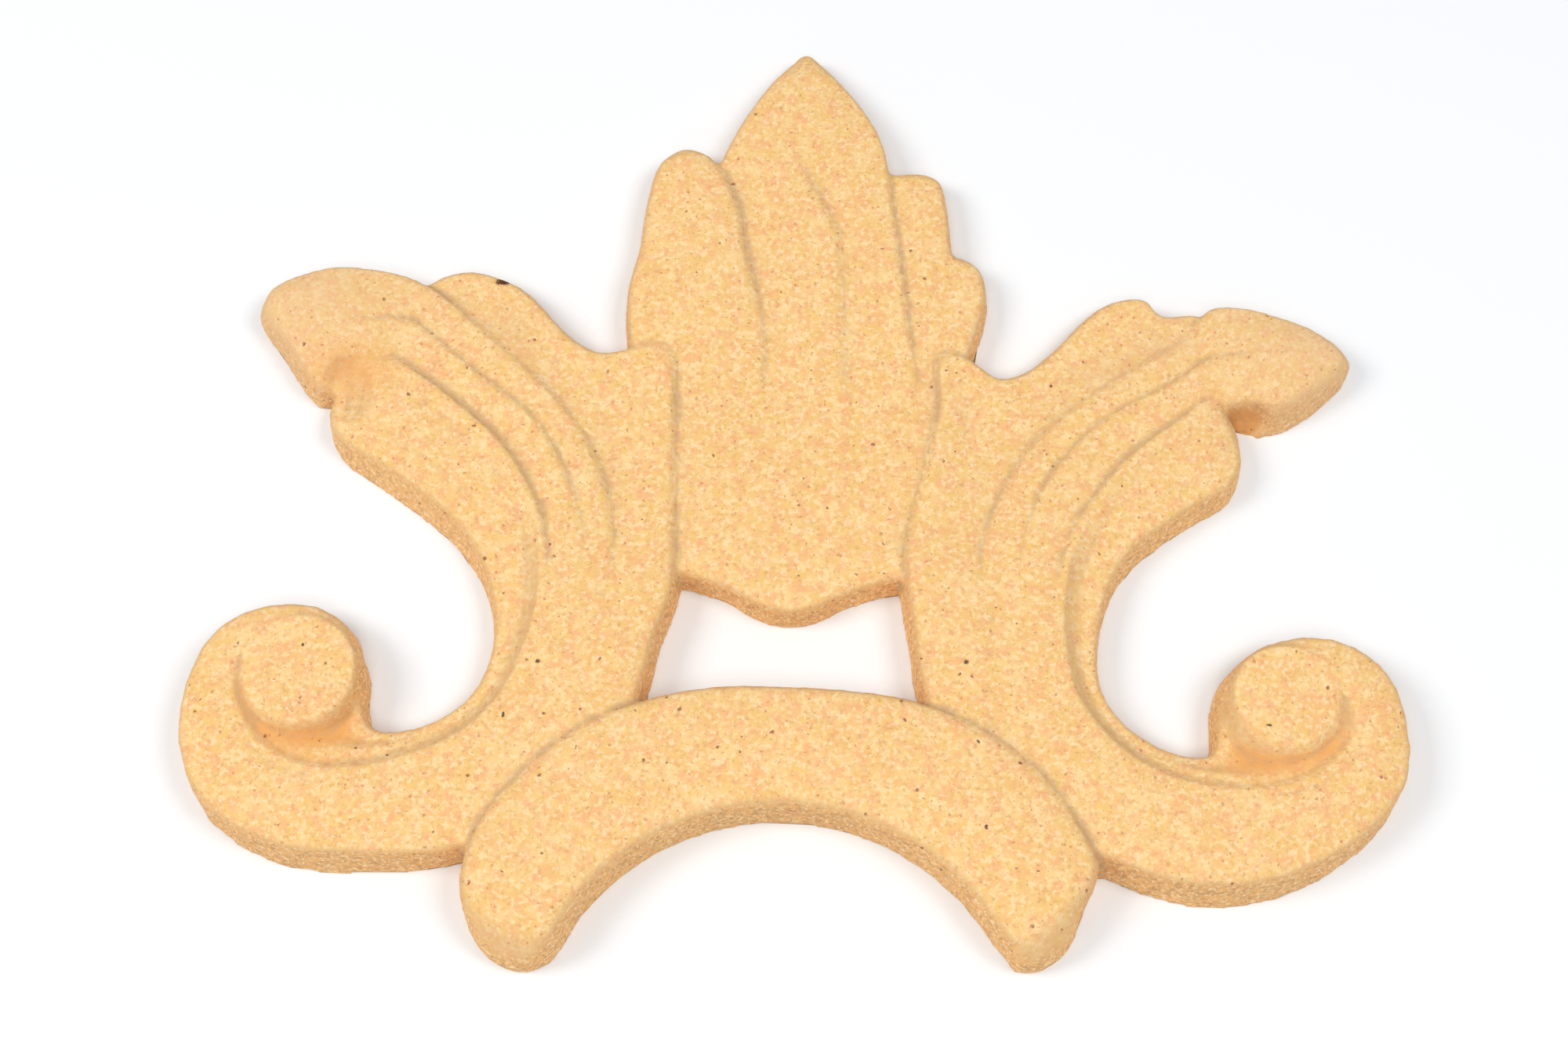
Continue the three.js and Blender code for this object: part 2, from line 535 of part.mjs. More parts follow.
const lowerRightLobe = [
  [16.0, 83.9, 18.6, 83.3, 2.6, 2.8, 2.6],
  [14.5, 82.8, 20.4, 81.9, 3.8, 4.1, 3.8],
  [13.0, 79.0, 21.2, 78.2, 4.0, 4.3, 4.1],
  [12.5, 75.0, 20.4, 74.0, 4.0, 4.3, 4.1],
  [12.5, 70.0, 19.2, 70.0, 4.0, 4.15, 4.05],
  [12.5, 65.0, 18.6, 65.0, 3.8, 3.9, 3.8],
  [13.0, 58.0, 18.5, 58.0, 3.6, 3.7, 3.6],
];

const bow = [
  [17.0, 66.0, 16.0, 43.4, 3.9, 4.4, 4.3],
  [12.0, 69.0, 12.0, 42.6, 3.9, 4.4, 4.3],
  [9.0, 70.0, 8.6, 41.5, 3.9, 4.45, 4.3],
  [5.5, 70.0, 5.4, 40.2, 3.9, 4.45, 4.3],
  [2.5, 70.0, 2.4, 38.6, 3.9, 4.45, 4.3],
  [-1.0, 70.0, -1.0, 38.0, 3.9, 4.45, 4.3],
  [-4.5, 70.0, -4.4, 39.0, 3.9, 4.45, 4.3],
  [-8.0, 70.0, -7.4, 40.7, 3.9, 4.45, 4.3],
  [-12.0, 69.0, -10.8, 41.7, 3.9, 4.4, 4.3],
  [-17.0, 66.0, -15.0, 42.8, 3.9, 4.4, 4.3],
];

// Arched band: its feet and its spring follow an arch about one centre, given by turn and radius
const archCentre = new THREE.Vector2(0.3, -9.8);
const onArch = (degrees, radius) => {
  const turn = THREE.MathUtils.degToRad(degrees);
  return [archCentre.x + radius * Math.cos(turn), archCentre.y + radius * Math.sin(turn)];
};
const archStations = [
  [33, 39.2],
  [41, 40.2],
  [50, 41.0],
  [61, 41.2],
  [72, 40.8],
  [82, 40.0],
  [92, 39.8],
  [102, 40.3],
  [112, 40.8],
  [122, 41.0],
  [133, 40.6],
  [144, 40.0],
].map(([degrees, radius]) => [...onArch(degrees, archRadius), ...onArch(degrees, radius), 6.4, 7.0, 6.7]);

const band = [
  [26.2, 1.0, 27.6, 1.4, 1.6, 1.8, 1.6],
  [25.2, 1.0, 29.4, 2.7, 3.0, 3.4, 3.0],
  [24.4, 1.3, 30.7, 4.8, 4.6, 5.0, 4.6],
  [23.6, 2.2, 31.9, 8.2, 5.9, 6.5, 6.0],
  ...archStations,
  [-22.3, 2.2, -33.6, 8.0, 6.4, 7.0, 6.6],
  [-23.2, 0.7, -33.0, 4.6, 5.8, 6.4, 6.0],
  [-24.4, -0.4, -31.8, 2.1, 4.6, 5.0, 4.6],
  [-25.7, -0.9, -30.2, 0.3, 3.0, 3.4, 3.0],
  [-26.9, -1.0, -28.6, -0.6, 1.6, 1.8, 1.6],
];

// The hollows under the leaves' tips and the buttons of the volutes
const leftHollow = { x: -51.2, y: 62.4, z: 7.5, halfAcross: 4.5, halfAlong: 5.9, bottom: 3.3 };
const rightHollow = { x: 50.4, y: 62.4, z: 6.0, halfAcross: 4.2, halfAlong: 3.2, bottom: -0.5 };
const leftEye = { x: -52.3, y: 29.4, flatRadius: 5.9, skirtRadius: 6.6, skirtDrop: 1.0 };
const rightEye = { x: 52.8, y: 30.6, flatRadius: 5.5, skirtRadius: 6.9, skirtDrop: 1.2 };

const carving = [
  blade(leftStem, stem).add(lip(leftLip)).subtract(hollow(leftHollow)),
  blade(rightStem, stem).subtract(hollow(rightHollow)).add(lip(rightLip)),
  blade(each(leftPlate, wallLean), plate),
  blade(each(rightPlate, wallLean), plate),
  blade(each(leftLobe, stepLean), free),
  blade(middleLeaf, folded),
  blade(each(upperRightLobe, wallLean), tucked),
  blade(each(lowerRightLobe, wallLean), tucked),
  blade(each(bow, wallLean), tucked),
  blade(each(band, wallLean), arched),
  eye(leftEye),
  eye(rightEye),
].reduce((joined, piece) => joined.add(piece));

const { vertProperties, triVerts } = carving.getMesh();
const surface = new THREE.BufferGeometry();
surface.setAttribute("position", new THREE.BufferAttribute(vertProperties, 3));
surface.setIndex(new THREE.BufferAttribute(triVerts, 1));
surface.computeVertexNormals();

const pulp = new THREE.MeshStandardMaterial({ color: partColour, roughness: 0.9, metalness: 0 });
const applique = new THREE.Mesh(surface, pulp);
applique.name = "applique";

const group = new THREE.Group();
group.add(applique);

export default group;
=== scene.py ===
# %% [markdown]
# A moulded wood pulp ornament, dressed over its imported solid.
# The ornament is one flat-backed piece of pressed pulp: a palmette between two curling leaves, two
# volutes and an arched band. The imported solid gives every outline, step and slope at its true size.
# It could be drawn again here from a plain block, but then it would drift from the solid, so this
# lesson starts from a copy of the solid and gives it what pressed pulp adds: soft edges, crumbly
# walls, a fine grain and a flecked, slightly uneven colour.

import bpy
import numpy as np
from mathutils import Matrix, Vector
from mathutils.kdtree import KDTree


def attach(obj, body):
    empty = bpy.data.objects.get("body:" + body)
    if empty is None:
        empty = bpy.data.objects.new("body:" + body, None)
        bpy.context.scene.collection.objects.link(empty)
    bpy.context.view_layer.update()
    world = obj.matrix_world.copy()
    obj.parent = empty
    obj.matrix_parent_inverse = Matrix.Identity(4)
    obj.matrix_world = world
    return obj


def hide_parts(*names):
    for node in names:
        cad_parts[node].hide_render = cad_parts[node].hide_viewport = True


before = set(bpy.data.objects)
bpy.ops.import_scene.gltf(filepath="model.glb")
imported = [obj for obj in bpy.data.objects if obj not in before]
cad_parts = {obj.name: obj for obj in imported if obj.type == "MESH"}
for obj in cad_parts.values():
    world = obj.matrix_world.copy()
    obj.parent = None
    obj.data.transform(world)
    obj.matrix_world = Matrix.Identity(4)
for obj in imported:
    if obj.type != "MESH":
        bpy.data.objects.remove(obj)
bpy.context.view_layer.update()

MM = 0.001

# %% [markdown]
# ## Camera
# The ornament lies on its back and is seen from its lower side, about 67 degrees above the table.
# A camera could be turned by three angles, but aiming it at a spot on the piece says more plainly
# where it looks, and keeps the picture level.

# %% Camera
camera_place = Vector((2.65, -105.0, 243.6)) * MM
aimed_at = Vector((-1.4, -4.2, 0.0)) * MM
line_of_sight = aimed_at - camera_place

camera_data = bpy.data.cameras.new("table_camera")
camera_data.lens = 54.0
camera_data.sensor_width = 36.0
camera_data.clip_start = 10.0 * MM
camera = bpy.data.objects.new("table_camera", camera_data)
bpy.context.scene.collection.objects.link(camera)
camera.location = camera_place
camera.rotation_euler = line_of_sight.to_track_quat("-Z", "Y").to_euler()
bpy.context.scene.camera = camera
print("camera", round(line_of_sight.length / MM), "mm from the ornament")

# %% [markdown]
# ## A copy of the solid
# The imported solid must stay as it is, so a copy of its mesh is dressed. Its triangles are loose, each
# with corners of its own, so the doubles are merged first: only then is it one closed skin.

# %% Copy the solid
bpy.ops.object.select_all(action="DESELECT")
pulp = bpy.data.objects.new("pulp_ornament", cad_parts["applique"].data.copy())
bpy.context.scene.collection.objects.link(pulp)
pulp.data.materials.clear()
bpy.context.view_layer.objects.active = pulp
pulp.select_set(True)

bpy.ops.object.mode_set(mode="EDIT")
bpy.ops.mesh.select_all(action="SELECT")
bpy.ops.mesh.remove_doubles(threshold=0.001 * MM)
bpy.ops.object.mode_set(mode="OBJECT")
print("merged skin:", len(pulp.data.vertices), "points")

# %% [markdown]
# ## Even skin
# Pressed pulp has no knife-sharp edge: every arris is rubbed soft by the mould. Bevels on each of the
# carving's many small steps would clash where the steps run out, so the skin is made anew from even
# cells a little over a third of a millimetre wide, and smoothing then rounds all edges alike.

# %% Even cells
def apply_modifier(piece, kind, **settings):
    """Adds a modifier to the piece, sets it and applies it."""
    modifier = piece.modifiers.new(kind.lower(), kind)
    for name, value in settings.items():
        setattr(modifier, name, value)
    bpy.ops.object.modifier_apply(modifier=modifier.name)


cell = 0.37 * MM
apply_modifier(pulp, "REMESH", mode="VOXEL", voxel_size=cell, adaptivity=0.0)
apply_modifier(pulp, "SMOOTH", factor=0.5, iterations=2)
print("even skin:", len(pulp.data.polygons), "faces")

# %% [markdown]
# ## Flat back
# The back was struck off level in the mould and lies flat on whatever it is glued to. Smoothing has
# lifted its rim a little. Cutting the skin off level would leave a hole to close, so each point near
# the table that faces down is set back on it instead.

# %% Flat back
def corners(piece):
    """The places of the piece's points, one row for each."""
    places = np.empty(len(piece.data.vertices) * 3)
    piece.data.vertices.foreach_get("co", places)
    return places.reshape(-1, 3)


def facings(piece):
    """The normals of the piece's points, one row for each."""
    normals = np.empty(len(piece.data.vertices) * 3)
    piece.data.vertices.foreach_get("normal", normals)
    return normals.reshape(-1, 3)


facing_down = -0.35
lifted_rim = 0.6 * MM
places = corners(pulp)
on_back = (facings(pulp)[:, 2] < facing_down) & (places[:, 2] < lifted_rim)
places[on_back, 2] = 0.0
pulp.data.vertices.foreach_set("co", places.ravel())
pulp.data.update()
print("back:", int(on_back.sum()), "points")

# %% [markdown]
# ## Soft outer edges
# The outer edges were rubbed rounder than the steps of the carving, because hands and sandpaper reach
# them first. A bevel can't tell the two apart. So each point within about a millimetre of an outer
# wall is found first, and only those points are smoothed further.

# %% Shares and groups
def share(values, none_at, full_at):
    """How far each value lies on the way from none_at to full_at, from 0 to 1."""
    return np.clip((values - none_at) / (full_at - none_at), 0.0, 1.0)


def vertex_group(piece, name, weights):
    """Makes a vertex group that holds one weight for each point."""
    group = piece.vertex_groups.new(name=name)
    levels = np.round(weights, 2)
    for level in np.unique(levels):
        members = np.nonzero(levels == level)[0].tolist()
        group.add(members, float(level), "REPLACE")
    print("group", name, "holds", int((weights > 0.5).sum()), "points")


# %% Soft outer edges
wall_bottom = 1.2 * MM
wall_top = 2.6 * MM
on_outer_wall = (places[:, 2] > wall_bottom) & (places[:, 2] < wall_top)
wall_tree = KDTree(int(on_outer_wall.sum()))
for number, (x, y, _) in enumerate(places[on_outer_wall]):
    wall_tree.insert((x, y, 0.0), number)
wall_tree.balance()
from_wall = np.array([wall_tree.find((x, y, 0.0))[2] for x, y, _ in places])
rim = share(from_wall, 1.35 * MM, 0.45 * MM) * share(places[:, 2], wall_bottom, wall_bottom + 1.0 * MM)
vertex_group(pulp, "rims", rim)
apply_modifier(pulp, "SMOOTH", factor=0.5, iterations=9, vertex_group="rims")

# %% [markdown]
# ## Uneven surface
# Seen close, the face of pressed pulp swells and dips by about a tenth of a millimetre where the
# fibres packed unevenly, and its walls are sandier than its face. A bump in the finish would vanish
# at the outline, so noise textures move the points themselves along their normals. The back stays
# flat, because it belongs to neither the carved side nor the walls.

# %% Carved side, walls and back
places = corners(pulp)
carved = share(places[:, 2], 0.0, 1.0 * MM)
carved[on_back] = 0.0
vertex_group(pulp, "back", on_back.astype(float))
vertex_group(pulp, "carved", carved)
vertex_group(pulp, "walls", carved * share(np.abs(facings(pulp)[:, 2]), 0.727, 0.273))


# %% Uneven surface
def roughen(piece, name, size, depth, group):
    """Moves the group's points along their normals by cloudy noise."""
    clouds = bpy.data.textures.new(name, "CLOUDS")
    clouds.noise_scale = size
    clouds.noise_depth = 2
    apply_modifier(
        piece, "DISPLACE", texture=clouds, texture_coords="LOCAL", strength=depth, vertex_group=group
    )
    print(name, "moves", group, "by up to", round(depth / 2 / MM, 2), "mm either way")


roughen(pulp, "slow_swell", 7.0 * MM, 0.22 * MM, "carved")
roughen(pulp, "packed_fibres", 1.3 * MM, 0.10 * MM, "carved")
roughen(pulp, "sandy_walls", 0.9 * MM, 0.16 * MM, "walls")

# %% [markdown]
# ## Thin back
# A flat face needs few triangles, and the skin has to stay under two hundred thousand. Making the
# whole skin coarser would blur the carving, so only the back's group is thinned.

# %% Thin back
apply_modifier(pulp, "DECIMATE", ratio=0.57, vertex_group="back")
pulp.data.calc_loop_triangles()
print("thinned skin:", len(pulp.data.loop_triangles), "triangles")

# %% [markdown]
# ## Hollows
# Shade gathers in creases and hollows, and some dirt in the creases; the colours below paint that
# shade in. How deep each point lies below its surroundings is worked out by smoothing the skin and
# measuring how far each point moved outwards. It could be baked into a picture, but kept with the
# mesh as an attribute it needs no unwrapping, and the colours can follow the carving from any side.

# %% Smoothing in numbers
def smoothed_places(places, edges, rounds):
    """Places after each point has moved half-way to the mean of its neighbours, over and over."""
    count = len(places)
    neighbours = np.bincount(edges.ravel(), minlength=count)
    for _ in range(rounds):
        total = np.empty_like(places)
        for axis in range(3):
            from_first = np.bincount(edges[:, 1], places[edges[:, 0], axis], count)
            from_second = np.bincount(edges[:, 0], places[edges[:, 1], axis], count)
            total[:, axis] = from_first + from_second
        places = 0.5 * places + 0.5 * total / neighbours[:, None]
    return places


def keep(piece, name, values):
    """Stores one value for each point with the mesh."""
    attribute = piece.data.attributes.new(name, "FLOAT", "POINT")
    attribute.data.foreach_set("value", values)
    print(name, "is strong at", int((values > 0.5).sum()), "points")


# %% Hollows
def keep_hollow(piece, name, rounds, deepest):
    """Stores how deep each point lies below the smoothed skin, as a share of the deepest."""
    places = corners(piece)
    edges = np.empty(len(piece.data.edges) * 2, int)
    piece.data.edges.foreach_get("vertices", edges)
    moved = smoothed_places(places, edges.reshape(-1, 2), rounds) - places
    depth = (moved * facings(piece)).sum(axis=1)
    keep(piece, name, np.clip(depth / deepest, -1.0, 1.0))


keep_hollow(pulp, "crease", 4, 0.05 * MM)
keep_hollow(pulp, "pocket", 90, 0.6 * MM)

# %% [markdown]
# ## Walls, slopes, outer tips and pockets
# Walls and slopes get painted shade, darker than the face, the leaves' outer tips get painted shade, a
# greyer tan where the light falls off, and the pockets by the buttons get orange painted shade. A mask
# painted by hand would have to be painted again after each change of shape, so each mask is worked
# out from where a point lies and which way it faces.

# %% Walls, slopes, outer tips and pockets
places = corners(pulp)
levelness = np.abs(facings(pulp)[:, 2])
keep(pulp, "steep", share(levelness, 0.711, 0.184))
keep(pulp, "sloped", share(levelness, 0.94, 0.70))
outward = share(np.abs(places[:, 0]), 38.0 * MM, 58.0 * MM)
upward = share(places[:, 1], -2.0 * MM, 18.0 * MM)
# Painted shade: the leaves' outer upper tips are marked to be painted greyer, where the light falls off.
keep(pulp, "outer_tip_shade", outward * upward)

# The pockets beside the two buttons and under the right tip, which get orange painted shade: their
# middles and their radii
deep_places = [(-52.0, -32.0, 5.5), (52.5, -31.5, 5.5), (50.5, 9.5, 5.0)]
near_pocket = np.zeros(len(places))
for x, y, radius in deep_places:
    radii_away = np.hypot(places[:, 0] - x * MM, places[:, 1] - y * MM) / (radius * MM)
    near_pocket = np.maximum(near_pocket, share(radii_away, 1.9, 0.9))
keep(pulp, "near_pocket", near_pocket)
bpy.ops.object.shade_smooth()

# %% [markdown]
# ## Flecks
# Bark and fibre bits show as flecks in the pressed pulp: many small red-brown ones and a few large
# dark ones. Painting them one by one would take days, so the pulp is divided into uneven cells, each
# with a dot at its middle, and the cell's own colour decides whether the dot is there. The pattern is a
# group with named inputs, because the finish needs it more than once. Fine noise shifts the pattern
# a little from spot to spot, so that no fleck comes out round.

# %% Helpers for shader nodes
def new_group(name, inputs):
    """An empty shader group with the given inputs, each with its start, and one mask to put out."""
    group = bpy.data.node_groups.new(name, "ShaderNodeTree")
    for label, start in inputs:
        kind = "NodeSocketVector" if start is None else "NodeSocketFloat"
        socket = group.interface.new_socket(label, in_out="INPUT", socket_type=kind)
        if start is not None:
            socket.default_value = start
    group.interface.new_socket("Mask", in_out="OUTPUT", socket_type="NodeSocketFloat")
    return group


def add_node(tree, kind, **settings):
    """Adds a node, sets its properties, and sets its inputs by name or number."""
    node = tree.nodes.new(kind)
    for name, value in settings.items():
        if name == "inputs":
            for key, start in value.items():
                node.inputs[key].default_value = start
        else:
            setattr(node, name, value)
    return node


def join(tree, *pairs):
    """Links each output socket to the input socket beside it."""
    for source, target in pairs:
        tree.links.new(source, target)


# %% Fleck group
ragged_scale = 2400.0
ragged_reach = 0.55 * MM
core_of_fleck = 0.45

flecks = new_group(
    "pulp_flecks",
    [("Place", None), ("Cells per metre", 1000.0), ("Size", 0.2), ("Share", 0.3), ("Strength", 1.0)],
)
given = add_node(flecks, "NodeGroupInput")
result = add_node(flecks, "NodeGroupOutput")
ragged = add_node(flecks, "ShaderNodeTexNoise", inputs={"Scale": ragged_scale, "Detail": 2.0})
centred = add_node(flecks, "ShaderNodeVectorMath", operation="SUBTRACT", inputs={1: (0.5, 0.5, 0.5)})
shift = add_node(flecks, "ShaderNodeVectorMath", operation="SCALE", inputs={"Scale": ragged_reach})
shifted = add_node(flecks, "ShaderNodeVectorMath", operation="ADD")
cells = add_node(flecks, "ShaderNodeTexVoronoi", inputs={"Randomness": 1.0})
split = add_node(flecks, "ShaderNodeSeparateColor")
chosen = add_node(flecks, "ShaderNodeMath", operation="LESS_THAN")
varied = add_node(flecks, "ShaderNodeMath", operation="MULTIPLY")
dot = add_node(flecks, "ShaderNodeMapRange", inputs={"From Max": 0.0, "To Min": 1.0, "To Max": 0.0})
inner = add_node(flecks, "ShaderNodeMath", operation="MULTIPLY", inputs={1: core_of_fleck})
both = add_node(flecks, "ShaderNodeMath", operation="MULTIPLY")
strong = add_node(flecks, "ShaderNodeMath", operation="MULTIPLY")
print("fleck group:", len(flecks.nodes), "nodes")

# %% Links of the fleck group
join(
    flecks,
    (given.outputs["Place"], ragged.inputs["Vector"]),
    (ragged.outputs["Color"], centred.inputs[0]),
    (centred.outputs[0], shift.inputs[0]),
    (given.outputs["Place"], shifted.inputs[0]),
    (shift.outputs[0], shifted.inputs[1]),
    (shifted.outputs[0], cells.inputs["Vector"]),
    (given.outputs["Cells per metre"], cells.inputs["Scale"]),
    (cells.outputs["Color"], split.inputs["Color"]),
    (split.outputs["Red"], chosen.inputs[0]),
    (given.outputs["Share"], chosen.inputs[1]),
    (split.outputs["Green"], varied.inputs[0]),
    (given.outputs["Size"], varied.inputs[1]),
    (varied.outputs[0], inner.inputs[0]),
    (cells.outputs["Distance"], dot.inputs["Value"]),
    (inner.outputs[0], dot.inputs["From Min"]),
    (varied.outputs[0], dot.inputs["From Max"]),
    (dot.outputs["Result"], both.inputs[0]),
    (chosen.outputs[0], both.inputs[1]),
    (both.outputs[0], strong.inputs[0]),
    (given.outputs["Strength"], strong.inputs[1]),
    (strong.outputs[0], result.inputs["Mask"]),
)
print("fleck group:", len(flecks.links), "links")

# %% [markdown]
# ## Single marks
# A few marks are too large and too far apart to come from the pattern: a dark nick on the left leaf's
# crest, the largest bits of bark, and patches of painted shade. Each is a soft-edged ball of colour at
# its own place, with its own half sizes, so that it wraps over an edge. Painting them on a picture
# would need an unwrapped skin, which nothing else here needs.

# %% Mark group
edge_scale = 3200.0
edge_waver = 1.4
edge_end = 1.85
firm_core = 1.35
soft_core = 0.2

mark = new_group(
    "single_mark",
    [("Place", None), ("Middle", None), ("Per half size", None), ("Core", firm_core)],
)
given = add_node(mark, "NodeGroupInput")
result = add_node(mark, "NodeGroupOutput")
away = add_node(mark, "ShaderNodeVectorMath", operation="SUBTRACT")
scaled = add_node(mark, "ShaderNodeVectorMath", operation="MULTIPLY")
length = add_node(mark, "ShaderNodeVectorMath", operation="LENGTH")
uneven = add_node(mark, "ShaderNodeTexNoise", inputs={"Scale": edge_scale, "Detail": 2.0})
wavered = add_node(mark, "ShaderNodeMath", operation="MULTIPLY_ADD", inputs={1: edge_waver})
soft = add_node(mark, "ShaderNodeMapRange", inputs={"From Max": edge_end, "To Min": 1.0, "To Max": 0.0})
join(
    mark,
    (given.outputs["Place"], away.inputs[0]),
    (given.outputs["Middle"], away.inputs[1]),
    (away.outputs[0], scaled.inputs[0]),
    (given.outputs["Per half size"], scaled.inputs[1]),
    (scaled.outputs[0], length.inputs[0]),
    (given.outputs["Place"], uneven.inputs["Vector"]),
    (uneven.outputs["Fac"], wavered.inputs[0]),
    (length.outputs["Value"], wavered.inputs[2]),
    (wavered.outputs[0], soft.inputs["Value"]),
    (given.outputs["Core"], soft.inputs["From Min"]),
    (soft.outputs["Result"], result.inputs["Mask"]),
)
print("mark group:", len(mark.nodes), "nodes")

# %% [markdown]
# ## Pulp finish
# The pulp is dull and honey-coloured, with hardly any gloss. Its colours could be blended in one big
# ramp, but here each is one mix over the last, from broad to fine, so that any one can be changed
# alone. All patterns read the object's own coordinates, so they stay put from every side.

# %% Pulp finish
finish = bpy.data.materials.new("pressed_pulp_finish")
finish.use_nodes = True
tree = finish.node_tree
tree.nodes.clear()
output = add_node(tree, "ShaderNodeOutputMaterial")
shader = add_node(tree, "ShaderNodeBsdfPrincipled")
shader.inputs["Specular IOR Level"].default_value = 0.25
shader.inputs["Roughness"].default_value = 0.85
place = add_node(tree, "ShaderNodeTexCoord").outputs["Object"]
join(tree, (shader.outputs["BSDF"], output.inputs["Surface"]))
pulp.data.materials.append(finish)
print("pulp finish begun")


# %% Masks for the finish
def noise(scale, detail=3.0, roughness=0.55):
    """Cloudy noise on the object's own coordinates, at so many cells per metre."""
    node = add_node(
        tree, "ShaderNodeTexNoise", inputs={"Scale": scale, "Detail": detail, "Roughness": roughness}
    )
    join(tree, (place, node.inputs["Vector"]))
    return node.outputs["Fac"]


def stretched(value, low, high, top=1.0):
    """The value's range from low to high spread from nothing to top."""
    node = add_node(tree, "ShaderNodeMapRange", inputs={"From Min": low, "From Max": high, "To Max": top})
    join(tree, (value, node.inputs["Value"]))
    return node.outputs["Result"]


def product(first, second):
    """Two masks multiplied, so that both must hold."""
    node = add_node(tree, "ShaderNodeMath", operation="MULTIPLY")
    join(tree, (first, node.inputs[0]), (second, node.inputs[1]))
    return node.outputs[0]


def carving_mask(name):
    """A mask that the mesh keeps as an attribute."""
    return add_node(tree, "ShaderNodeAttribute", attribute_name=name).outputs["Fac"]


def mixed(base, colour, mask):
    """The base colour with another laid over it where the mask says."""
    node = add_node(tree, "ShaderNodeMix", data_type="RGBA")
    node.inputs["B"].default_value = (*colour, 1.0)
    if isinstance(base, tuple):
        node.inputs["A"].default_value = (*base, 1.0)
    else:
        join(tree, (base, node.inputs["A"]))
    join(tree, (mask, node.inputs["Factor"]))
    return node.outputs["Result"]


# %% [markdown]
# ## Mottled face
# The face is mottled from pale yellow to pinkish tan at about a millimetre, with darker fibre ends
# between. One noise would look like fog, so four of them, from coarse to fine, each bring one colour.

# %% Mottled face
honey = (0.80, 0.50, 0.178)
butter = (0.88, 0.645, 0.35)
rosy_tan = (0.81, 0.41, 0.192)
fibre_tan = (0.58, 0.30, 0.105)

colour = mixed(honey, butter, stretched(noise(430.0), 0.42, 0.68, 0.5))
colour = mixed(colour, rosy_tan, stretched(noise(700.0), 0.45, 0.66, 0.85))
colour = mixed(colour, butter, stretched(noise(1700.0), 0.49, 0.64, 0.8))
colour = mixed(colour, fibre_tan, stretched(noise(2100.0, 4.0, 0.7), 0.52, 0.72, 0.8))
print("mottled face:", len(tree.nodes), "nodes so far")

# %% [markdown]
# ## Walls and hollows
# The walls are painted a warmer tan, the tone that shade gives them, sprinkled with pale sand and
# dark grit. Slopes and hollows are painted greyer and darker as painted shade, the creases grey-brown
# as painted shade and dirt, the outer tips greyer as painted shade, and the pockets orange as painted
# shade. The masks that the mesh keeps place these colours. Ambient occlusion could shade the hollows
# too, but it has no colour of its own.

# %% Walls and hollows
slope_shade_tan = (0.66, 0.41, 0.195)
wall_shade_tan = (0.89, 0.468, 0.168)
wall_grit = (0.51, 0.275, 0.12)
wall_sand = (0.98, 0.72, 0.40)
tip_shade_grey = (0.72, 0.47, 0.27)
hollow_shade_tan = (0.60, 0.38, 0.185)
pocket_shade_orange = (0.76, 0.34, 0.09)
crease_shade_and_dirt_grey = (0.44, 0.28, 0.155)

steep = stretched(carving_mask("steep"), 0.1, 0.9)
hollow = carving_mask("pocket")
in_pocket = stretched(carving_mask("near_pocket"), 0.0, 0.9)

# Painted shade: slopes are painted a darker, greyer tan than the face, as shade falls on them.
colour = mixed(colour, slope_shade_tan, stretched(carving_mask("sloped"), 0.1, 1.0, 0.5))
# Painted shade: the steep walls are painted a warmer, redder tan, the tone that shade gives them.
colour = mixed(colour, wall_shade_tan, product(steep, stretched(noise(500.0), 0.1, 0.4, 0.75)))
colour = mixed(colour, wall_grit, product(steep, stretched(noise(1500.0, 4.0, 0.8), 0.46, 0.62, 0.8)))
colour = mixed(colour, wall_sand, product(steep, stretched(noise(2300.0, 3.0, 0.7), 0.51, 0.64, 0.9)))
# Painted shade: the outer tips are painted a greyer tan, where the light falls off.
colour = mixed(colour, tip_shade_grey, stretched(carving_mask("outer_tip_shade"), 0.0, 1.0, 0.4))
# Painted shade: hollows are painted a greyer, darker tan, where shade gathers in them.
colour = mixed(colour, hollow_shade_tan, stretched(hollow, 0.08, 0.7, 0.45))
# Painted shade: the pockets are painted orange, the warm shade that gathers in them.
colour = mixed(colour, pocket_shade_orange, product(in_pocket, stretched(hollow, -0.04, 0.45, 0.75)))
# Painted shade and dirt: the creases are painted grey-brown, partly as shade and partly as dirt in them.
colour = mixed(colour, crease_shade_and_dirt_grey, stretched(carving_mask("crease"), 0.2, 1.0, 0.5))
print("walls and hollows:", len(tree.nodes), "nodes so far")

# %% [markdown]
# ## Painted shade patches
# Painted shade is laid in patches under the left tip, in the right tip's recess, beside the buttons,
# in the corners where the stems meet the band, and in the dips along the crests, coloured orange,
# brown or tan to suit each spot. They lie under the flecks. Noise could place such patches anywhere,
# but the shade gathers at known spots, so each is a single mark, broken up by one shared noise so
# that it fades softly.

# %% Painted shade patches
def single_mark(middle, half_sizes, core):
    """One mark, given by its middle and its half sizes in millimetres."""
    per_half_size = [1.0 / (side * MM) for side in half_sizes]
    node = add_node(
        tree, "ShaderNodeGroup", node_tree=mark,
        inputs={"Middle": Vector(middle) * MM, "Per half size": per_half_size, "Core": core},
    )
    join(tree, (place, node.inputs["Place"]))
    return node.outputs["Mask"]


dip_shade_tan = (0.70, 0.43, 0.215)
recess_shade_brown = (0.56, 0.25, 0.08)
corner_shade_brown = (0.34, 0.14, 0.055)
